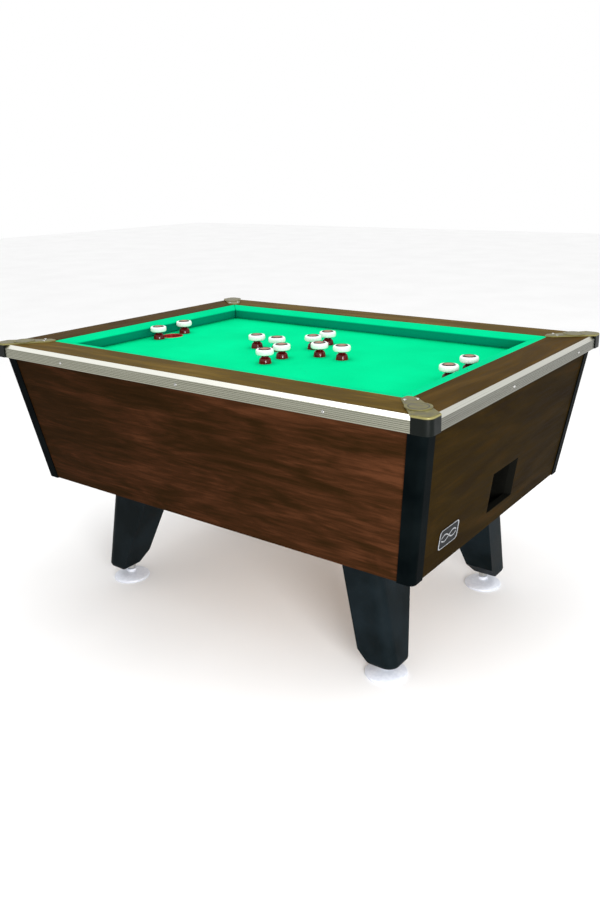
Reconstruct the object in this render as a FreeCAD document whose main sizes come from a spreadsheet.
"""Rectangular bumper pool table on four legs with screw levellers.

Frame: millimetres, +Z up, origin on the floor under the middle of the table.
+X runs along the table, and both ends have a ball tray.

The four long edges of the table are alike, so each edge piece is drawn once in an
edge frame (X along the edge, -Y outwards) and turned by a quarter at a time.
Corner pieces are drawn once in a corner frame whose origin is the outer corner of
the metal trim, with the table lying towards -X and +Y.  A leg is drawn round the
middle of its foot in the same directions, and all four legs are one part.
"""
import FreeCAD, Part
import os
import re
import Sketcher

Vector = FreeCAD.Vector
doc = FreeCAD.newDocument("BumperPoolTable")

# ---------------------------------------------------------------- driving sizes
SIZES = [
    ("table_length", 1448, "trim face to trim face along X"),
    ("table_width", 1036, "trim face to trim face along Y"),
    ("rail_top", 788, "floor to the top of the rails"),
    ("bed_depth", 44, "rail top down to the cloth of the bed"),
    ("rail_width", 114, "trim face to the inner edge of the wooden rail"),
    ("rail_gap", 2, "rail step to the inside of the cabinet panel"),
    ("trim_height", 36.6, "rail top down to the lower edge of the trim"),
    ("trim_wall", 3, "thickness of the aluminium trim"),
    ("bevel_run", 11, "sloping top of the trim, across"),
    ("bevel_drop", 8.7, "sloping top of the trim, down"),
    ("rib_pitch", 4.2, "spacing of the grooves in the trim"),
    ("rib_width", 1.6, "width of one groove"),
    ("rib_depth", 0.8, "depth of one groove"),
    ("rib_rise", 3.2, "lower edge of the trim to the first groove"),
    ("panel_height", 384.2, "height of the cabinet panels"),
    ("panel_inset", 20, "trim face to panel face at the top of the panel"),
    ("panel_taper", 56.7, "how far the panel leans in over its height"),
    ("panel_wall", 20, "thickness of the panels, measured level"),
    ("post_face", 43, "width of each face of a corner post"),
    ("post_proud", 3, "corner post in front of the panel faces"),
    ("post_round", 15, "outer rounding of a corner post"),
    ("post_drop", 1.5, "corner post below the panels"),
    ("floor_rise", 5.8, "panel bottom up to the cabinet floor"),
    ("floor_wall", 15, "thickness of the cabinet floor"),
    ("floor_gap", 1, "cabinet floor to the panels"),
    ("cleat_size", 22, "width and height of the strips over the floor edges"),
    ("ledger_width", 22, "width of the strips that carry the bed"),
    ("ledger_height", 40, "height of the strips that carry the bed"),
    ("beam_offset", 230, "middle of the table to each cross beam"),
    ("beam_width", 32, "width of a cross beam"),
    ("beam_height", 70, "height of a cross beam"),
    ("bed_wall", 22, "thickness of the slate"),
    ("bed_gap", 3, "slate to the cabinet panels"),
    ("cloth_wall", 1.2, "thickness of the bed cloth"),
    ("cushion_width", 44.5, "rail edge to cushion nose"),
    ("cushion_gap", 0.3, "clearance round a cushion"),
    ("cushion_lift", 1.2, "bed cloth to the underside of a cushion"),
    ("nose_rise", 35, "bed cloth to the cushion nose"),
    ("nose_face", 7, "height of the blunt cushion nose"),
    ("nose_undercut", 14, "how far the cushion runs back under its nose"),
    ("cap_proud", 3, "corner cap in front of the trim"),
    ("cap_arm", 46, "length of each arm of a corner cap"),
    ("cap_plate", 4, "thickness of the cap above the rail"),
    ("cap_overlap", 10, "cap tip beyond the rail corner"),
    ("cap_neck", 26, "width of the cap tip along each rail"),
    ("cap_round", 18, "outer rounding of a corner cap"),
    ("cap_edge_round", 3, "rounding of the top edges of a corner cap"),
    ("boss_diameter", 60, "raised round field on the cap"),
    ("boss_rise", 1.6, "height of the raised field"),
    ("boss_setback", 58, "trim corner to the raised field, each way"),
    ("cap_screw_far", 109, "cap screw from the nearer trim corner, along the rail"),
    ("cap_screw_near", 89, "cap screw from the trim face"),
    ("screw_diameter", 4, "shank of the cap and trim screws"),
    ("screw_gap", 0.2, "clearance round a screw shank"),
    ("screw_head", 8, "diameter of a screw head"),
    ("screw_head_rise", 2, "height of a screw head"),
    ("screw_crown", 4, "flat top of a screw head"),
    ("screw_length", 16, "length of a screw under its head"),
    ("trim_screw_rise", 13, "lower edge of the trim to its screws"),
    ("side_screw_pitch", 445, "spacing of the screws in a long trim"),
    ("side_screw_shift", 20, "middle screw from the middle of a long trim"),
    ("end_screw_pitch", 444, "spacing of the screws in a short trim"),
    ("end_screw_shift", 117, "middle of the pair from the middle of a short trim"),
    ("rail_bolt_inset", 92, "trim face to the bolts that hold the rails"),
    ("rail_bolt_diameter", 8, "shank of a rail bolt"),
    ("rail_bolt_grip", 24, "length of a rail bolt inside the rail"),
    ("bolt_gap", 0.3, "clearance round a bolt shank"),
    ("washer_diameter", 20, "washer under a bolt head"),
    ("washer_wall", 2, "thickness of a washer"),
    ("bolt_head_rise", 5, "height of a bolt head"),
    ("leg_bottom", 46.5, "floor to the underside of a leg"),
    ("leg_top_outer_x", -8.5, "outer X face of a leg at its top, from the foot middle"),
    ("leg_top_inner_x", -115, "inner X face of a leg at its top"),
    ("leg_top_outer_y", -49.5, "outer Y face of a leg at its top"),
    ("leg_top_inner_y", 139, "inner Y face of a leg at its top"),
    ("leg_foot_outer_x", 54, "outer X face of a leg at its bottom"),
    ("leg_foot_inner_x", -47, "inner X face of a leg at its bottom"),
    ("leg_foot_outer_y", -55, "outer Y face of a leg at its bottom"),
    ("leg_foot_inner_y", 20, "inner Y face of a leg at its bottom"),
    ("leg_round", 30, "outer rounding of a leg"),
    ("leg_bevel", 28, "cut corner at the inner bottom edge"),
    ("leg_edge_round", 9, "rounding of the outer bottom edges of a leg"),
    ("leg_bolt_reach_x", 30, "leg bolt from the middle of the leg top, leg frame X"),
    ("leg_bolt_reach_y", 55, "leg bolt from the middle of the leg top, leg frame Y"),
    ("leg_bolt_diameter", 10, "shank of a leg bolt"),
    ("leg_bolt_grip", 60, "length of a leg bolt inside the leg"),
    ("foot_inset_x", 236, "trim face to the middle of a foot along X"),
    ("foot_inset_y", 227, "trim face to the middle of a foot along Y"),
    ("foot_diameter", 112, "foot disc"),
    ("foot_rim", 6, "height of the edge of the foot disc"),
    ("foot_dome", 20, "height of the domed foot disc"),
    ("hub_diameter", 30, "hub on the foot disc"),
    ("hub_top", 29, "height of the hub"),
    ("stud_diameter", 16, "threaded stud"),
    ("stud_gap", 0.05, "running clearance round the stud"),
    ("stud_seat", 10, "bottom of the stud above the floor"),
    ("stud_length", 122, "length of the threaded stud"),
    ("hex_width", 24, "hexagon across its flats"),
    ("hex_height", 11, "height of the hexagon"),
    ("stop_gap", 0.3, "hexagon to the insert when screwed right in"),
    ("insert_diameter", 22, "threaded insert in the leg"),
    ("insert_length", 40, "length of the insert inside the leg"),
    ("flange_diameter", 28, "flange of the insert"),
    ("flange_wall", 3, "thickness of the flange"),
    ("stud_room", 10, "free length above the stud inside the leg"),
    ("cross_step_x", 79, "spacing of the middle bumpers along X"),
    ("cross_step_y", 76, "spacing of the middle bumpers along Y"),
    ("pocket_setback", 38.5, "cushion nose to the middle of a pocket"),
    ("gate_half", 58, "pocket to the bumpers on each side of it"),
    ("bumper_foot", 36, "diameter of a bumper post on the bed"),
    ("bumper_neck", 20, "diameter of the neck of a bumper post"),
    ("bumper_shoulder", 38, "diameter of the shoulder under the ring"),
    ("bumper_core", 34, "diameter of the post inside the ring"),
    ("bumper_flare_rise", 11, "height where the bumper post starts to narrow"),
    ("bumper_neck_rise", 18, "height of the neck"),
    ("bumper_ring_rise", 24.5, "height of the lower edge of the ring"),
    ("ring_diameter", 51, "rubber ring"),
    ("ring_height", 16.5, "height of the rubber ring"),
    ("ring_round", 5, "outer rounding of the rubber ring"),
    ("ring_gap", 0.2, "clearance inside the ring"),
    ("button_wall", 4.5, "thickness of the bumper cap"),
    ("button_proud", 1.5, "bumper cap above the top of the ring"),
    ("bumper_bolt", 6, "shank of a bumper bolt"),
    ("bumper_bolt_head", 12, "head of a bumper bolt"),
    ("pocket_diameter", 62, "inside of a pocket"),
    ("liner_wall", 2.5, "thickness of a pocket liner"),
    ("liner_gap", 0.3, "liner to the slate"),
    ("liner_proud", 0.6, "liner above the bed cloth"),
    ("duct_wall", 4, "thickness of a ball duct"),
    ("tray_wall", 6, "thickness of a ball tray"),
    ("opening_width", 153, "ball opening across the end panel"),
    ("opening_height", 110, "height of the ball opening"),
    ("opening_rise", 46, "panel bottom up to the ball opening"),
    ("badge_width", 96, "badge across the panel"),
    ("badge_height", 52, "height of the badge"),
    ("badge_wall", 2, "thickness of the badge"),
    ("badge_shift", 294, "badge from the middle of the end panel"),
    ("badge_rise", 72, "panel bottom up to the middle of the badge"),
    ("badge_round", 10, "corner rounding of the badge"),
]


def make_sheet():
    """Put every driving size in a cell of its own with its alias and a note."""
    sheet = doc.addObject("Spreadsheet::Sheet", "Sizes")
    for row, (alias, value, note) in enumerate(SIZES, start=1):
        sheet.set("A%d" % row, str(value))
        sheet.setAlias("A%d" % row, alias)
        sheet.set("B%d" % row, note)
    doc.recompute()
    return sheet


sheet = make_sheet()
ALIASES = {alias for alias, value, note in SIZES}

# ---------------------------------------------------------------- derived heights
TRIM_BOTTOM = "(rail_top - trim_height)"
PANEL_TOP = TRIM_BOTTOM
PANEL_BOTTOM = "(rail_top - trim_height - panel_height)"
FLOOR_BOTTOM = f"({PANEL_BOTTOM} + floor_rise)"
FLOOR_TOP = f"({FLOOR_BOTTOM} + floor_wall)"
CLOTH_TOP = "(rail_top - bed_depth)"
BED_TOP = f"({CLOTH_TOP} - cloth_wall)"
BED_BOTTOM = f"({BED_TOP} - bed_wall)"
OPENING_BOTTOM = f"({PANEL_BOTTOM} + opening_rise)"
OPENING_TOP = f"({OPENING_BOTTOM} + opening_height)"
TRAY_TOP = f"({OPENING_TOP} + tray_wall)"
LEAN = "(panel_taper / panel_height)"
INSERT_BOTTOM = "(leg_bottom - flange_wall)"
HEX_TOP = f"({INSERT_BOTTOM} - stop_gap)"
STUD_TOP = "(stud_seat + stud_length)"
RING_TOP = "(bumper_ring_rise + ring_height)"
BUTTON_TOP = f"({RING_TOP} + button_proud)"
BUTTON_BOTTOM = f"({BUTTON_TOP} - button_wall)"
TRIM_SCREW_HEIGHT = f"({TRIM_BOTTOM} + trim_screw_rise)"
SCREW_HOLE = "(screw_diameter/2 + screw_gap)"

# ---------------------------------------------------------------- derived places
POCKET_X = "(table_length/2 - rail_width - cushion_width - pocket_setback)"
FOOT_X = "(table_length/2 - foot_inset_x)"
FOOT_Y = "(table_width/2 - foot_inset_y)"

# name of each table edge, length along the edge, distance across, quarter turns
EDGES = [
    ("front", "table_length", "table_width", 0),
    ("right", "table_width", "table_length", 1),
    ("back", "table_length", "table_width", 2),
    ("left", "table_width", "table_length", 3),
]
# name of each corner, its sides along X and Y, quarter turns
CORNERS = [
    ("front_right", 1, -1, 0),
    ("back_right", 1, 1, 1),
    ("back_left", -1, 1, 2),
    ("front_left", -1, -1, 3),
]
RIB_COUNT = 6
RAIL_BOLTS_PER_LONG_RAIL = 3
RAIL_BOLTS_PER_SHORT_RAIL = 2
QUARTER_TURN = 90
HEX_SIDES = 6
HEAD_RATIO = 1.5  # head of a bolt, in shank diameters
DOME_STEPS = 6
TOLERANCE = 1e-4

subparts = []


def panel_face(across, height):
    """Level distance from the middle of the table to a panel's outer face at a height."""
    return f"({across}/2 - panel_inset - ({PANEL_TOP} - {height})*{LEAN})"


def panel_back(across, height):
    """Level distance from the middle of the table to a panel's inner face at a height."""
    return f"({panel_face(across, height)} - panel_wall)"


# ---------------------------------------------------------------- modelling helpers
def bind(text):
    """Turn a formula in size names into an expression on the sheet."""
    return re.sub(r"[a-z][a-z_]*", lambda word: prefix(word.group(0)), str(text))


def prefix(word):
    return "Sizes." + word if word in ALIASES else word


def value_of(text):
    """The number that a formula in size names gives now."""
    return sheet.evalExpression(bind(text))


def turned(quarters):
    return FreeCAD.Rotation(Vector(0, 0, 1), QUARTER_TURN * quarters)


def place(item, quarters=0, x="0", y="0", z="0"):
    """Turn a piece about Z by quarters, then bind its position to the sheet."""
    item.Placement = FreeCAD.Placement(Vector(0, 0, 0), turned(quarters))
    item.setExpression("Placement.Base.x", bind(x))
    item.setExpression("Placement.Base.y", bind(y))
    item.setExpression("Placement.Base.z", bind(z))


def new_body(label, quarters=0, x="0", y="0", z="0"):
    body = doc.addObject("PartDesign::Body", label)
    body.Label = label
    place(body, quarters, x, y, z)
    return body


def new_sketch(body, role, lift):
    """Attach a sketch to one of the body's own origin planes, lifted along its normal."""
    planes = {feature.Role: feature for feature in body.Origin.OriginFeatures}
    sketch = body.newObject("Sketcher::SketchObject", "Sketch")
    sketch.AttachmentSupport = (planes[role], "")
    sketch.MapMode = "FlatFace"
    sketch.setExpression("AttachmentOffset.Base.z", bind(lift))
    return sketch


def pin_point(sketch, edge, end, across, up):
    """Hold a point of a sketch at a place given by two formulas."""
    for kind, formula in (("DistanceX", across), ("DistanceY", up)):
        start = value_of(formula)
        index = sketch.addConstraint(Sketcher.Constraint(kind, -1, 1, edge, end, start))
        sketch.setExpression("Constraints[%d]" % index, bind(formula))


def add_polygon(sketch, points):
    """Closed outline of straight edges through points given as pairs of formulas."""
    corners = [Vector(value_of(across), value_of(up), 0) for across, up in points]
    first = sketch.GeometryCount
    count = len(corners)
    for index in range(count):
        line = Part.LineSegment(corners[index], corners[(index + 1) % count])
        sketch.addGeometry(line, False)
    for index in range(count):
        following = first + (index + 1) % count
        sketch.addConstraint(Sketcher.Constraint("Coincident", first + index, 2, following, 1))
    for index, (across, up) in enumerate(points):
        pin_point(sketch, first + index, 1, across, up)


def add_rounded_outline(sketch, points, radius):
    """Closed outline whose last side, from the last point to the first, is a quarter of a circle."""
    corners = [Vector(value_of(across), value_of(up), 0) for across, up in points]
    for start, end in zip(corners, corners[1:]):
        sketch.addGeometry(Part.LineSegment(start, end), False)
    first, last = corners[0], corners[-1]
    centre = Vector(last.x, first.y, 0)
    bulge = centre + (first + last - centre*2).normalize()*value_of(radius)
    arc = sketch.addGeometry(Part.Arc(last, bulge, first), False)
    clockwise = (last - centre).cross(first - centre).z < 0
    arc_start, arc_end = (2, 1) if clockwise else (1, 2)
    for index in range(arc - 1):
        sketch.addConstraint(Sketcher.Constraint("Coincident", index, 2, index + 1, 1))
    sketch.addConstraint(Sketcher.Constraint("Coincident", arc - 1, 2, arc, arc_start))
    sketch.addConstraint(Sketcher.Constraint("Coincident", arc, arc_end, 0, 1))
    for index, (across, up) in enumerate(points[:-1]):
        pin_point(sketch, index, 1, across, up)
    pin_point(sketch, arc - 1, 2, *points[-1])
    index = sketch.addConstraint(Sketcher.Constraint("Radius", arc, value_of(radius)))
    sketch.setExpression("Constraints[%d]" % index, bind(radius))


def polygon(body, role, points, lift="0"):
    sketch = new_sketch(body, role, lift)
    add_polygon(sketch, points)
    return sketch


def rectangle(body, role, left, low, right, high, lift="0"):
    return polygon(body, role, [(left, low), (right, low), (right, high), (left, high)], lift)


def circles(body, role, centres, radius, lift="0"):
    """One sketch with a circle at each centre, all of one radius."""
    sketch = new_sketch(body, role, lift)
    for across, up in centres:
        centre = Vector(value_of(across), value_of(up), 0)
        edge = sketch.addGeometry(Part.Circle(centre, Vector(0, 0, 1), value_of(radius)), False)
        pin_point(sketch, edge, 3, across, up)
        index = sketch.addConstraint(Sketcher.Constraint("Radius", edge, value_of(radius)))
        sketch.setExpression("Constraints[%d]" % index, bind(radius))
    return sketch


def pad(body, sketch, length, both_ways=False):
    feature = body.newObject("PartDesign::Pad", "Pad")
    feature.Profile = sketch
    feature.setExpression("Length", bind(length))
    feature.SideType = "Symmetric" if both_ways else "One side"
    return feature


def pocket(body, sketch, depth=None, upwards=False):
    """Cut a profile: right through both ways, or to a depth up or down its normal."""
    feature = body.newObject("PartDesign::Pocket", "Pocket")
    feature.Profile = sketch
    if depth is None:
        feature.Type = "ThroughAll"
        feature.SideType = "Symmetric"
        return feature
    feature.setExpression("Length", bind(depth))
    feature.Reversed = upwards
    return feature


def loft(body, sections):
    """Solid through level sketches, given from the lowest to the highest."""
    feature = body.newObject("PartDesign::AdditiveLoft", "Loft")
    feature.Profile = sections[0]
    feature.Sections = sections[1:]
    feature.Ruled = True
    return feature


def spin(body, points):
    """Turn an outline of (radius, height) pairs round the body's own Z axis."""
    sketch = polygon(body, "XZ_Plane", points)
    feature = body.newObject("PartDesign::Revolution", "Revolution")
    feature.Profile = sketch
    feature.ReferenceAxis = (sketch, ["V_Axis"])
    feature.Angle = 360
    return feature


def edges_where(feature, test):
    """Names of the edges of a feature whose end points all pass a test."""
    names = []
    for index, edge in enumerate(feature.Shape.Edges, start=1):
        if all(test(vertex.Point) for vertex in edge.Vertexes):
            names.append("Edge%d" % index)
    return names


def near(first, second):
    return abs(first - second) < TOLERANCE


def soften(body, base, test, radius, kind="PartDesign::Fillet"):
    """Fillet or chamfer the edges of the base feature that pass a test."""
    doc.recompute()
    feature = body.newObject(kind, "Soften")
    feature.Base = (base, edges_where(base, test))
    size = "Radius" if kind == "PartDesign::Fillet" else "Size"
    feature.setExpression(size, bind(radius))
    return feature


def keep(piece):
    """List a document object as a sub-part that is written to a file of its own."""
    subparts.append(piece)
    return piece


def copy_at(master, name, x, y, z="0"):
    """A linked copy of a piece at a place given by formulas."""
    link = doc.addObject("App::Link", name)
    link.LinkedObject = master
    place(link, 0, x, y, z)
    return link


def group(label, pieces):
    """Identical pieces as one sub-part of separate solids."""
    compound = doc.addObject("Part::Compound", label)
    compound.Label = label
    compound.Links = pieces
    return keep(compound)


# ---------------------------------------------------------------- cabinet
def cabinet_panel(name, run, across, quarters, has_opening):
    """Board that leans in towards the bottom, between two corner posts."""
    body = new_body(name, quarters)
    reach = f"{run}/2 - panel_inset - post_face + post_proud"
    top = rectangle(body, "XY_Plane", f"-({reach})", f"-{panel_face(across, PANEL_TOP)}",
                    reach, f"-{panel_back(across, PANEL_TOP)}", PANEL_TOP)
    low = rectangle(body, "XY_Plane", f"-({reach} - panel_taper)", f"-{panel_face(across, PANEL_BOTTOM)}",
                    f"{reach} - panel_taper", f"-{panel_back(across, PANEL_BOTTOM)}", PANEL_BOTTOM)
    loft(body, [low, top])
    if has_opening:
        mouth = rectangle(body, "XZ_Plane", "-opening_width/2", OPENING_BOTTOM, "opening_width/2", OPENING_TOP)
        pocket(body, mouth)
    keep(body)


def corner_post(corner, side_x, side_y, quarters):
    """Angle-shaped post that leans with the panels and covers their ends."""
    body = new_body("corner_post_" + corner, quarters, f"{side_x}*table_length/2", f"{side_y}*table_width/2")

    def outline(shift, height):
        face = f"(panel_inset - post_proud + {shift})"
        curve = f"({face} + post_round)"
        back = f"({face} + post_proud + panel_wall)"
        far = f"({face} + post_face)"
        points = [(face, curve), (face, far), (back, far), (back, back), (far, back), (far, face), (curve, face)]
        sketch = new_sketch(body, "XY_Plane", height)
        add_rounded_outline(sketch, [(f"-{x}", y) for x, y in points], "post_round")
        return sketch

    low = outline(f"(panel_taper + post_drop*{LEAN})", f"{PANEL_BOTTOM} - post_drop")
    loft(body, [low, outline("0", PANEL_TOP)])
    keep(body)


def cabinet_floor():
    """Board across the bottom of the cabinet, with holes for the leg bolts."""
    body = new_body("cabinet_floor")
    half_x = f"({panel_back('table_length', FLOOR_BOTTOM)} - floor_gap)"
    half_y = f"({panel_back('table_width', FLOOR_BOTTOM)} - floor_gap)"
    pad(body, rectangle(body, "XY_Plane", f"-{half_x}", f"-{half_y}", half_x, half_y, FLOOR_BOTTOM), "floor_wall")
    pocket(body, circles(body, "XY_Plane", leg_bolt_places(), "leg_bolt_diameter/2 + bolt_gap"))
    keep(body)


def turned_place(place_xy, quarters):
    """A place in an edge or leg frame as a place in the table's directions."""
    x, y = place_xy
    for turn in range(quarters):
        x, y = f"-({y})", x
    return x, y


def bolt_places_in_leg():
    """Places of the four bolts over one leg, in the leg's own frame."""
    middle_x = "(leg_top_outer_x + leg_top_inner_x)/2"
    middle_y = "(leg_top_outer_y + leg_top_inner_y)/2"
    return [(f"({middle_x} + {step_x}*leg_bolt_reach_x)", f"({middle_y} + {step_y}*leg_bolt_reach_y)")
            for step_x in (-1, 1) for step_y in (-1, 1)]


def leg_bolt_places():
    """Places of the bolts over all the legs, in the table's frame."""
    places = []
    for corner, side_x, side_y, quarters in CORNERS:
        for spot in bolt_places_in_leg():
            x, y = turned_place(spot, quarters)
            places.append((f"{side_x}*{FOOT_X} + {x}", f"{side_y}*{FOOT_Y} + {y}"))
    return places


def inner_strip(name, run, across, quarters, low, high, width):
    """Strip along the inside of a panel whose outer face leans with the panel."""
    body = new_body(name, quarters)
    back = f"-({panel_back(across, low)} - {width})"
    points = [(f"-{panel_back(across, low)}", low), (back, low), (back, high),
              (f"-{panel_back(across, high)}", high)]
    length = f"2*({panel_back(run, low)} - {width}) - 2*bed_gap"
    pad(body, polygon(body, "YZ_Plane", points), length, both_ways=True)
    return body


def inner_strips(label, edges, low, high, width):
    strips = [inner_strip(f"{label}_{edge}", run, across, quarters, low, high, width)
              for edge, run, across, quarters in edges]
    group(label, strips)


def cross_beams():
    """Two beams under the slate from one side panel to the other."""
    beams = []
    low = f"({BED_BOTTOM} - beam_height)"
    half_y = f"({panel_back('table_width', low)} - floor_gap)"
    ledger_low = f"({BED_BOTTOM} - ledger_height)"
    top_y = f"({panel_back('table_width', ledger_low)} - ledger_width - bed_gap)"
    for name, side in (("left", -1), ("right", 1)):
        body = new_body("cross_beam_" + name, 0, f"{side}*beam_offset")
        notch = f"({ledger_low} - floor_gap)"
        points = [(f"-{half_y}", low), (half_y, low), (half_y, notch), (top_y, notch),
                  (top_y, BED_BOTTOM), (f"-{top_y}", BED_BOTTOM), (f"-{top_y}", notch), (f"-{half_y}", notch)]
        pad(body, polygon(body, "YZ_Plane", points), "beam_width", both_ways=True)
        beams.append(body)
    group("cross_beams", beams)


# ---------------------------------------------------------------- bed
def bumper_places():
    """Eight bumpers in a cross in the middle and one on each side of both pockets."""
    places = []
    for step in (-2, -1, 1, 2):
        places.append((f"{step}*cross_step_x", "0"))
        places.append(("0", f"{step}*cross_step_y"))
    for side_x in (-1, 1):
        for side_y in (-1, 1):
            places.append((f"{side_x}*{POCKET_X}", f"{side_y}*gate_half"))
    return places


def rail_bolt_places(run, across):
    """Places of the bolts along one rail, in the edge frame."""
    count = RAIL_BOLTS_PER_LONG_RAIL if run == "table_length" else RAIL_BOLTS_PER_SHORT_RAIL
    reach = f"({run}/2 - 2*rail_width)"
    places = []
    for index in range(count):
        along = f"{reach}*{2*index - count + 1}/{count - 1}"
        places.append((along, f"-({across}/2 - rail_bolt_inset)"))
    return places


def all_rail_bolt_places():
    return [turned_place(spot, quarters) for edge, run, across, quarters in EDGES
            for spot in rail_bolt_places(run, across)]


def bed_sheet(label, low, wall):
    """Level sheet inside the cabinet with pocket, bumper bolt and rail bolt holes."""
    body = new_body(label)
    half_x = f"({panel_back('table_length', BED_BOTTOM)} - bed_gap)"
    half_y = f"({panel_back('table_width', BED_BOTTOM)} - bed_gap)"
    pad(body, rectangle(body, "XY_Plane", f"-{half_x}", f"-{half_y}", half_x, half_y, low), wall)
    pockets = [(f"-{POCKET_X}", "0"), (POCKET_X, "0")]
    pocket(body, circles(body, "XY_Plane", pockets, "pocket_diameter/2 + liner_wall + liner_gap"))
    pocket(body, circles(body, "XY_Plane", bumper_places(), "bumper_bolt/2 + bolt_gap"))
    pocket(body, circles(body, "XY_Plane", all_rail_bolt_places(), "rail_bolt_diameter/2 + bolt_gap"))
    keep(body)


def pocket_liner(side_name, side):
    """Plastic tube that lines a pocket from the cloth down through the slate."""
    body = new_body("pocket_liner_" + side_name, 0, f"{side}*{POCKET_X}")
    inside = "pocket_diameter/2"
    outside = "pocket_diameter/2 + liner_wall"
    top = f"{CLOTH_TOP} + liner_proud"
    spin(body, [(inside, BED_BOTTOM), (outside, BED_BOTTOM), (outside, top), (inside, top)])
    keep(body)


def ball_duct(side_name, side):
    """Square duct that drops a ball from the pocket into the tray."""
    body = new_body("ball_duct_" + side_name, 0, f"{side}*{POCKET_X}")
    inner = "(pocket_diameter/2 + liner_wall)"
    outer = f"({inner} + duct_wall)"
    pad(body, rectangle(body, "XY_Plane", f"-{outer}", f"-{outer}", outer, outer, TRAY_TOP),
        f"{BED_BOTTOM} - {TRAY_TOP}")
    pocket(body, rectangle(body, "XY_Plane", f"-{inner}", f"-{inner}", inner, inner))
    keep(body)


def ball_tray(side_name, quarters):
    """Open-fronted box behind the end opening, with a square hole under the duct."""
    body = new_body("ball_tray_" + side_name, quarters)
    duct_inner = "(pocket_diameter/2 + liner_wall)"
    duct_outer = f"({duct_inner} + duct_wall)"
    back = f"-({POCKET_X} - {duct_outer} - tray_wall)"
    outline = [(back, FLOOR_TOP), (f"-{panel_back('table_length', FLOOR_TOP)}", FLOOR_TOP),
               (f"-{panel_back('table_length', TRAY_TOP)}", TRAY_TOP), (back, TRAY_TOP)]
    pad(body, polygon(body, "YZ_Plane", outline), "opening_width + 2*tray_wall", both_ways=True)
    inside = rectangle(body, "YZ_Plane", "-table_length/2", f"{FLOOR_TOP} + tray_wall",
                       f"{back} - tray_wall", OPENING_TOP)
    hollow = body.newObject("PartDesign::Pocket", "Hollow")
    hollow.Profile = inside
    hollow.setExpression("Length", bind("opening_width"))
    hollow.SideType = "Symmetric"
    hole = rectangle(body, "XY_Plane", f"-{duct_inner}", f"-{POCKET_X} - {duct_inner}",
                     duct_inner, f"-{POCKET_X} + {duct_inner}", OPENING_TOP)
    pocket(body, hole, "tray_wall", upwards=True)
    keep(body)


# ---------------------------------------------------------------- rails, cushions and trim
def mitre_ends(body, run, across, gap="0"):
    """Cut both ends of an edge piece at 45 degrees, towards the table's corners."""
    reach = "(rail_width + cushion_width + cap_overlap)"
    for side in (-1, 1):
        points = [(f"{side}*({run}/2 - {gap})", f"-{across}/2"),
                  (f"{side}*{run}/2", f"-{across}/2"),
                  (f"{side}*{run}/2", f"-{across}/2 + {reach}"),
                  (f"{side}*({run}/2 - {gap} - {reach})", f"-{across}/2 + {reach}")]
        if gap == "0":
            points.pop(0)
        pocket(body, polygon(body, "XY_Plane", points))


def rail(edge, run, across, quarters):
    """Wooden rail on top of a panel, stepped down to the bed inside it."""
    body = new_body("rail_" + edge, quarters)
    step = f"-({across}/2 - panel_inset - panel_wall - rail_gap)"
    inner = f"-({across}/2 - rail_width)"
    wood_face = f"-({across}/2 - trim_wall)"
    bevel_edge = f"-({across}/2 - bevel_run)"
    points = [(inner, CLOTH_TOP), (inner, "rail_top"), (bevel_edge, "rail_top"),
              (bevel_edge, "rail_top - trim_wall"), (wood_face, "rail_top - bevel_drop - trim_wall/2"),
              (wood_face, TRIM_BOTTOM), (step, TRIM_BOTTOM), (step, CLOTH_TOP)]
    pad(body, polygon(body, "YZ_Plane", points), run, both_ways=True)
    mitre_ends(body, run, across)
    bolts = circles(body, "XY_Plane", rail_bolt_places(run, across), "rail_bolt_diameter/2 + bolt_gap", CLOTH_TOP)
    pocket(body, bolts, "rail_bolt_grip + bolt_gap", upwards=True)
    cap_holes = [(f"{side}*({run}/2 - cap_screw_far)", f"-({across}/2 - cap_screw_near)") for side in (-1, 1)]
    pilot = circles(body, "XY_Plane", cap_holes, SCREW_HOLE, "rail_top")
    pocket(body, pilot, "screw_length - cap_plate + bolt_gap")
    side_holes = [(along, TRIM_SCREW_HEIGHT) for along in trim_screw_places(run)]
    side_pilot = circles(body, "XZ_Plane", side_holes, SCREW_HOLE, f"{across}/2")
    pocket(body, side_pilot, "screw_length + bolt_gap")
    keep(body)


def trim_screw_places(run):
    """Distances along a trim to its screws."""
    if run == "table_length":
        return [f"side_screw_shift + {step}*side_screw_pitch" for step in (-1, 0, 1)]
    return [f"end_screw_shift + {step}*end_screw_pitch/2" for step in (-1, 1)]


def cushion(edge, run, across, quarters):
    """Rubber cushion under its cloth: a bar whose nose stands over the bed."""
    body = new_body("cushion_" + edge, quarters)
    back = f"-({across}/2 - rail_width - cushion_gap)"
    nose = f"-({across}/2 - rail_width - cushion_width)"
    heel = f"({nose} - nose_undercut)"
    nose_top = f"({CLOTH_TOP} + nose_rise)"
    points = [(back, f"{CLOTH_TOP} + cushion_lift"), (back, "rail_top - cushion_gap"), (nose, nose_top),
              (nose, f"{nose_top} - nose_face"), (heel, f"{CLOTH_TOP} + cushion_lift")]
    pad(body, polygon(body, "YZ_Plane", points), run, both_ways=True)
    mitre_ends(body, run, across, "cushion_gap")
    keep(body)


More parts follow.
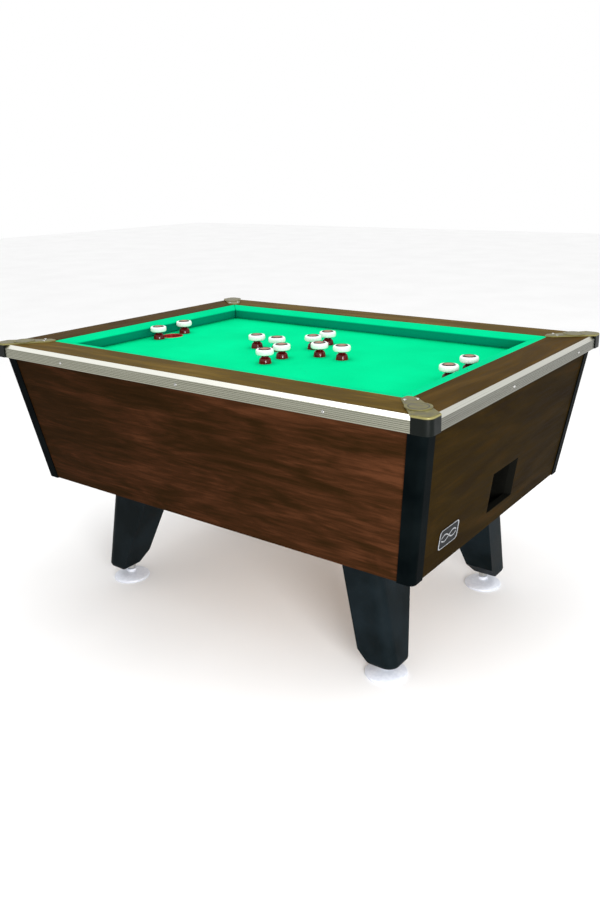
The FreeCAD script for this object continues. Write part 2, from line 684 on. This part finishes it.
def rail_trim(edge, run, across, quarters):
    """Grooved aluminium strip with a sloping top, from one corner cap to the next."""
    body = new_body("rail_trim_" + edge, quarters)
    face = f"-{across}/2"
    wood_face = f"-({across}/2 - trim_wall)"
    bevel_edge = f"-({across}/2 - bevel_run)"
    points = [(face, TRIM_BOTTOM), (wood_face, TRIM_BOTTOM), (wood_face, "rail_top - bevel_drop - trim_wall/2"),
              (bevel_edge, "rail_top - trim_wall"), (bevel_edge, "rail_top"), (face, "rail_top - bevel_drop")]
    length = f"{run} + 2*cap_proud - 2*cap_arm"
    pad(body, polygon(body, "YZ_Plane", points), length, both_ways=True)
    for index in range(RIB_COUNT):
        low = f"({TRIM_BOTTOM} + rib_rise + {index}*rib_pitch)"
        groove = rectangle(body, "YZ_Plane", face, low, f"{face} + rib_depth", f"{low} + rib_width")
        pocket(body, groove)
    holes = [(along, TRIM_SCREW_HEIGHT) for along in trim_screw_places(run)]
    pocket(body, circles(body, "XZ_Plane", holes, SCREW_HOLE))
    keep(body)


def corner_cap(corner, side_x, side_y, quarters):
    """Cast cap over a rail corner: a tapering plate on top and a skirt round the outside."""
    body = new_body("corner_cap_" + corner, quarters, f"{side_x}*table_length/2", f"{side_y}*table_width/2")
    arm = "(cap_arm - cap_proud)"
    tip = "(rail_width + cap_overlap)"
    neck = f"({tip} - cap_neck)"
    plate = [("cap_proud", "-cap_proud"), ("cap_proud", arm), (f"-{neck}", tip), (f"-{tip}", tip),
             (f"-{tip}", neck), (f"-{arm}", "-cap_proud")]
    skirt = [("cap_proud", "-cap_proud"), ("cap_proud", arm), ("-trim_wall", arm), ("-trim_wall", "trim_wall"),
             (f"-{arm}", "trim_wall"), (f"-{arm}", "-cap_proud")]
    pad(body, polygon(body, "XY_Plane", skirt, TRIM_BOTTOM), "trim_height")
    top = pad(body, polygon(body, "XY_Plane", plate, "rail_top"), "cap_plate")
    proud = value_of("cap_proud")
    tip_reach = value_of(tip)
    height = value_of("rail_top + cap_plate")

    def on_outer_corner(point):
        return near(point.x, proud) and near(point.y, -proud)

    def on_tip(point):
        return near(point.x, -tip_reach) and near(point.y, tip_reach)

    rounded = soften(body, top, on_outer_corner, "cap_round")
    tip_rounded = soften(body, rounded, on_tip, "cap_round/2")
    soften(body, tip_rounded, lambda point: near(point.z, height), "cap_edge_round")
    spots = [("-boss_setback", "boss_setback")]
    pad(body, circles(body, "XY_Plane", spots, "boss_diameter/2", "rail_top + cap_plate"), "boss_rise")
    screws = [("-cap_screw_far", "cap_screw_near"), ("-cap_screw_near", "cap_screw_far")]
    pocket(body, circles(body, "XY_Plane", screws, SCREW_HOLE))
    keep(body)


# ---------------------------------------------------------------- legs and levellers
def leg_face_at(height, face):
    """Place of one face of the leg at a height; it runs straight from top to bottom."""
    share = f"(({height} - leg_bottom)/({FLOOR_BOTTOM} - leg_bottom))"
    return f"(leg_foot_{face} + (leg_top_{face} - leg_foot_{face})*{share})"


def leg_outline(body, rise, shrink):
    """Level section of a leg with a rounded outer corner; shrink moves its outer faces in."""
    height = f"(leg_bottom + {rise})"
    out_x = f"({leg_face_at(height, 'outer_x')} - {shrink})"
    out_y = f"({leg_face_at(height, 'outer_y')} + {shrink})"
    in_x = leg_face_at(height, "inner_x")
    in_y = leg_face_at(height, "inner_y")
    points = [(out_x, f"({out_y} + leg_round)"), (out_x, in_y), (in_x, in_y), (in_x, out_y),
              (f"({out_x} - leg_round)", out_y)]
    sketch = new_sketch(body, "XY_Plane", height)
    add_rounded_outline(sketch, points, "leg_round")
    return sketch


def leg(corner, side_x, side_y, quarters):
    """Tapering block, the same at every corner, turned to face it."""
    body = new_body("leg_" + corner, quarters, f"{side_x}*{FOOT_X}", f"{side_y}*{FOOT_Y}")
    bow = "leg_edge_round*(1 - cos(45 deg))"
    loft(body, [leg_outline(body, "0", "leg_edge_round"),
                leg_outline(body, bow, bow),
                leg_outline(body, "leg_edge_round", "0"),
                leg_outline(body, f"({FLOOR_BOTTOM} - leg_bottom)", "0")])
    cut = [("leg_foot_inner_x - leg_bevel", "leg_bottom - leg_bevel"),
           ("leg_foot_inner_x + 2*leg_bevel", "leg_bottom - leg_bevel"),
           ("leg_foot_inner_x - leg_bevel", "leg_bottom + 2*leg_bevel")]
    pocket(body, polygon(body, "XZ_Plane", cut))
    foot = [("0", "0")]
    pocket(body, circles(body, "XY_Plane", foot, "insert_diameter/2", "leg_bottom"), "insert_length", upwards=True)
    pocket(body, circles(body, "XY_Plane", foot, "stud_diameter/2 + bolt_gap", "leg_bottom"),
           f"{STUD_TOP} + stud_room - leg_bottom", upwards=True)
    pocket(body, circles(body, "XY_Plane", bolt_places_in_leg(), "leg_bolt_diameter/2 + bolt_gap", FLOOR_BOTTOM),
           "leg_bolt_grip + bolt_gap")
    keep(body)


def foot_pad(corner, side_x, side_y):
    """Domed steel disc with a hub that the stud turns in."""
    body = new_body("foot_pad_" + corner, 0, f"{side_x}*{FOOT_X}", f"{side_y}*{FOOT_Y}")
    bore = "stud_diameter/2 + stud_gap"
    dome_points = dome_outline("foot_diameter/2", "foot_rim", "hub_diameter/2", "foot_dome")
    points = [("0", "0"), ("foot_diameter/2", "0")] + dome_points
    points += [("hub_diameter/2", "hub_top"), (bore, "hub_top"), (bore, "stud_seat - stop_gap"),
               ("0", "stud_seat - stop_gap")]
    spin(body, points)
    keep(body)


def dome_outline(rim_radius, rim_height, top_radius, top_height):
    """Points along a quarter of an ellipse from a rim up to a hub."""
    points = []
    for step in range(DOME_STEPS + 1):
        angle = f"{QUARTER_TURN*step/DOME_STEPS:g} deg"
        radius = f"({top_radius} + ({rim_radius} - {top_radius})*cos({angle}))"
        height = f"({rim_height} + ({top_height} - {rim_height})*sin({angle}))"
        points.append((radius, height))
    return points


def leveller_stud(corner, side_x, side_y):
    """Threaded stud with a hexagon, screwed up into the leg."""
    body = new_body("leveller_stud_" + corner, 0, f"{side_x}*{FOOT_X}", f"{side_y}*{FOOT_Y}")
    radius = "stud_diameter/2"
    spin(body, [("0", "stud_seat"), (radius, "stud_seat"), (radius, STUD_TOP), ("0", STUD_TOP)])
    step = 4*QUARTER_TURN/HEX_SIDES
    reach = f"hex_width/2/cos({step/2:g} deg)"
    hexagon = [(f"{reach}*cos({step*side:g} deg)", f"{reach}*sin({step*side:g} deg)") for side in range(HEX_SIDES)]
    pad(body, polygon(body, "XY_Plane", hexagon, f"{HEX_TOP} - hex_height"), "hex_height")
    keep(body)


def leg_inserts():
    """Flanged threaded bushes pressed into the bottoms of the legs."""
    master = new_body("leg_insert")
    bore = "stud_diameter/2 + stud_gap"
    spin(master, [(bore, INSERT_BOTTOM), ("flange_diameter/2", INSERT_BOTTOM), ("flange_diameter/2", "leg_bottom"),
                  ("insert_diameter/2", "leg_bottom"), ("insert_diameter/2", "leg_bottom + insert_length"),
                  (bore, "leg_bottom + insert_length")])
    group("leg_inserts", [copy_at(master, "leg_insert_" + corner, f"{side_x}*{FOOT_X}", f"{side_y}*{FOOT_Y}")
                          for corner, side_x, side_y, quarters in CORNERS])


# ---------------------------------------------------------------- bumpers
def bumper_group(label, outline, round_test=None):
    """Twelve copies of one turned bumper piece, standing on the bed cloth."""
    master = new_body(label + "_piece")
    turned_piece = spin(master, outline)
    if round_test is not None:
        soften(master, turned_piece, round_test, "ring_round")
    group(label, [copy_at(master, "%s_%d" % (label, index), x, y, CLOTH_TOP)
                  for index, (x, y) in enumerate(bumper_places())])


def bumpers():
    bolt_hole = "(bumper_bolt/2 + bolt_gap)"
    head_hole = "(bumper_bolt_head/2 + bolt_gap)"
    head_seat = f"({BUTTON_BOTTOM} - bolt_head_rise)"
    post_outline = [(bolt_hole, "0"), ("bumper_foot/2", "0"), ("bumper_foot/2 - liner_wall", "bumper_flare_rise"),
                    ("bumper_neck/2", "bumper_neck_rise"), ("bumper_core/2", "bumper_ring_rise - liner_wall"),
                    ("bumper_shoulder/2", "bumper_ring_rise"), ("bumper_core/2", "bumper_ring_rise"),
                    ("bumper_core/2", BUTTON_BOTTOM), (head_hole, BUTTON_BOTTOM), (head_hole, head_seat),
                    (bolt_hole, head_seat)]
    bumper_group("bumper_posts", post_outline)
    inside = "(bumper_core/2 + ring_gap)"
    outside = "(ring_diameter/2)"
    ring_outline = [(inside, "bumper_ring_rise"), (outside, "bumper_ring_rise"), (outside, RING_TOP),
                    (inside, RING_TOP)]
    outer_radius = value_of(outside)
    bumper_group("bumper_rings", ring_outline,
                 lambda point: near((point.x**2 + point.y**2)**0.5, outer_radius))
    bumper_group("bumper_caps", [("0", BUTTON_BOTTOM), ("bumper_core/2", BUTTON_BOTTOM),
                                 ("bumper_core/2", BUTTON_TOP), ("0", BUTTON_TOP)])
    shank = "(bumper_bolt/2)"
    end = f"({BED_BOTTOM} - {CLOTH_TOP} - washer_wall - 2*bolt_head_rise)"
    bumper_group("bumper_bolts", [("0", end), (shank, end), (shank, head_seat), ("bumper_bolt_head/2", head_seat),
                                  ("bumper_bolt_head/2", BUTTON_BOTTOM), ("0", BUTTON_BOTTOM)])
    under_bed = f"({BED_BOTTOM} - {CLOTH_TOP})"
    nut_low = f"({under_bed} - washer_wall - bolt_head_rise)"
    bumper_group("bumper_nuts", [(shank, nut_low), ("bumper_bolt_head/2", nut_low),
                                 ("bumper_bolt_head/2", f"{under_bed} - washer_wall"),
                                 ("washer_diameter/2", f"{under_bed} - washer_wall"),
                                 ("washer_diameter/2", under_bed), (shank, under_bed)])


# ---------------------------------------------------------------- fasteners and badge
def screw_outline(length):
    """Pan-head screw standing on z = 0, with its shank below."""
    return [("0", f"-{length}"), ("screw_diameter/2", f"-{length}"), ("screw_diameter/2", "0"),
            ("screw_head/2", "0"), ("screw_head/2", "screw_head_rise/2"), ("screw_crown/2", "screw_head_rise"),
            ("0", "screw_head_rise")]


def cap_screws():
    master = new_body("cap_screw")
    spin(master, screw_outline("screw_length"))
    copies = []
    for corner, side_x, side_y, quarters in CORNERS:
        for number, (far, near_side) in enumerate((("cap_screw_far", "cap_screw_near"),
                                                   ("cap_screw_near", "cap_screw_far"))):
            along_x = far if quarters % 2 == 0 else near_side
            along_y = near_side if quarters % 2 == 0 else far
            copies.append(copy_at(master, "cap_screw_%s_%d" % (corner, number),
                                  f"{side_x}*(table_length/2 - {along_x})",
                                  f"{side_y}*(table_width/2 - {along_y})", "rail_top + cap_plate"))
    group("cap_screws", copies)


def trim_screws():
    """Screws through the trim into the wooden rails, their heads outwards."""
    pieces = []
    for edge, run, across, quarters in EDGES:
        for number, along in enumerate(trim_screw_places(run)):
            body = new_body("trim_screw_%s_%d" % (edge, number), quarters)
            face = f"({across}/2)"
            shank = circles(body, "XZ_Plane", [(along, TRIM_SCREW_HEIGHT)], "screw_diameter/2",
                            f"{face} - screw_length")
            pad(body, shank, "screw_length")
            head = circles(body, "XZ_Plane", [(along, TRIM_SCREW_HEIGHT)], "screw_head/2", face)
            pad(body, head, "screw_head_rise")
            pieces.append(body)
    group("trim_screws", pieces)


def rail_bolts():
    """Bolts with washers up through the slate into the rails."""
    master = new_body("rail_bolt")
    shank = "rail_bolt_diameter/2"
    head = f"(rail_bolt_diameter/2*{HEAD_RATIO})"
    spin(master, [("0", "-washer_wall - bolt_head_rise"), (head, "-washer_wall - bolt_head_rise"),
                  (head, "-washer_wall"), ("washer_diameter/2", "-washer_wall"), ("washer_diameter/2", "0"),
                  (shank, "0"), (shank, f"{CLOTH_TOP} - {BED_BOTTOM} + rail_bolt_grip"),
                  ("0", f"{CLOTH_TOP} - {BED_BOTTOM} + rail_bolt_grip")])
    group("rail_bolts", [copy_at(master, "rail_bolt_%d" % index, x, y, BED_BOTTOM)
                         for index, (x, y) in enumerate(all_rail_bolt_places())])


def leg_bolts():
    """Bolts with washers down through the cabinet floor into the legs."""
    master = new_body("leg_bolt")
    shank = "leg_bolt_diameter/2"
    head = f"(leg_bolt_diameter/2*{HEAD_RATIO})"
    spin(master, [("0", "-floor_wall - leg_bolt_grip"), (shank, "-floor_wall - leg_bolt_grip"), (shank, "0"),
                  ("washer_diameter/2", "0"), ("washer_diameter/2", "washer_wall"), (head, "washer_wall"),
                  (head, "washer_wall + bolt_head_rise"), ("0", "washer_wall + bolt_head_rise")])
    group("leg_bolts", [copy_at(master, "leg_bolt_%d" % index, x, y, FLOOR_TOP)
                        for index, (x, y) in enumerate(leg_bolt_places())])


def badge():
    """Plain plate on the right end panel, lying on its leaning face."""
    body = new_body("badge", 1)
    low = f"({PANEL_BOTTOM} + badge_rise - badge_height/2)"
    high = f"({low} + badge_height)"
    low_face = f"-{panel_face('table_length', low)}"
    high_face = f"-{panel_face('table_length', high)}"
    points = [(low_face, low), (high_face, high), (f"{high_face} - badge_wall", high),
              (f"{low_face} - badge_wall", low)]
    plate = pad(body, polygon(body, "YZ_Plane", points, "-badge_shift - badge_width/2"), "badge_width")
    doc.recompute()
    corner_edges = []
    for index, edge in enumerate(plate.Shape.Edges, start=1):
        first, last = [vertex.Point for vertex in edge.Vertexes]
        if near(first.x, last.x) and near(first.z, last.z):
            corner_edges.append("Edge%d" % index)
    rounding = body.newObject("PartDesign::Fillet", "Corners")
    rounding.Base = (plate, corner_edges)
    rounding.setExpression("Radius", bind("badge_round"))
    keep(body)


# ---------------------------------------------------------------- the whole table
def build_table():
    for edge, run, across, quarters in EDGES:
        kind = "side_panel_" if quarters % 2 == 0 else "end_panel_"
        cabinet_panel(kind + edge, run, across, quarters, has_opening=quarters % 2 == 1)
        rail(edge, run, across, quarters)
        cushion(edge, run, across, quarters)
        rail_trim(edge, run, across, quarters)
    for corner, side_x, side_y, quarters in CORNERS:
        corner_post(corner, side_x, side_y, quarters)
        corner_cap(corner, side_x, side_y, quarters)
        leg(corner, side_x, side_y, quarters)
        foot_pad(corner, side_x, side_y)
        leveller_stud(corner, side_x, side_y)
    cabinet_floor()
    inner_strips("floor_cleats", EDGES[::2], FLOOR_TOP, f"({FLOOR_TOP} + cleat_size)", "cleat_size")
    inner_strips("bed_ledgers", EDGES, f"({BED_BOTTOM} - ledger_height)", BED_BOTTOM, "ledger_width")
    cross_beams()
    bed_sheet("slate_bed", BED_BOTTOM, "bed_wall")
    bed_sheet("bed_cloth", BED_TOP, "cloth_wall")
    for side_name, side, quarters in (("right", 1, 1), ("left", -1, 3)):
        pocket_liner(side_name, side)
        ball_duct(side_name, side)
        ball_tray(side_name, quarters)
    leg_inserts()
    bumpers()
    cap_screws()
    trim_screws()
    rail_bolts()
    leg_bolts()
    badge()


def check_document():
    """Stop if any object failed or any sub-part has no valid shape."""
    doc.recompute()
    for item in doc.Objects:
        if "Invalid" in item.State or "Error" in item.State:
            owner = item.getParentGeoFeatureGroup()
            raise RuntimeError("%s failed in %s" % (item.Label, owner.Label if owner else "the document"))
    for piece in subparts:
        if piece.Shape.isNull() or not piece.Shape.isValid():
            raise RuntimeError(piece.Label + " has no valid shape")


def write_parts():
    os.makedirs("parts", exist_ok=True)
    for piece in subparts:
        piece.Shape.exportStep("parts/%s.step" % piece.Label)
        box = piece.Shape.BoundBox
        print("%-28s solids %2d  volume %12.1f  x %8.1f %8.1f  y %8.1f %8.1f  z %7.1f %7.1f" % (
            piece.Label, len(piece.Shape.Solids), piece.Shape.Volume,
            box.XMin, box.XMax, box.YMin, box.YMax, box.ZMin, box.ZMax))
    print(len(subparts), "sub-parts")


build_table()
check_document()
write_parts()
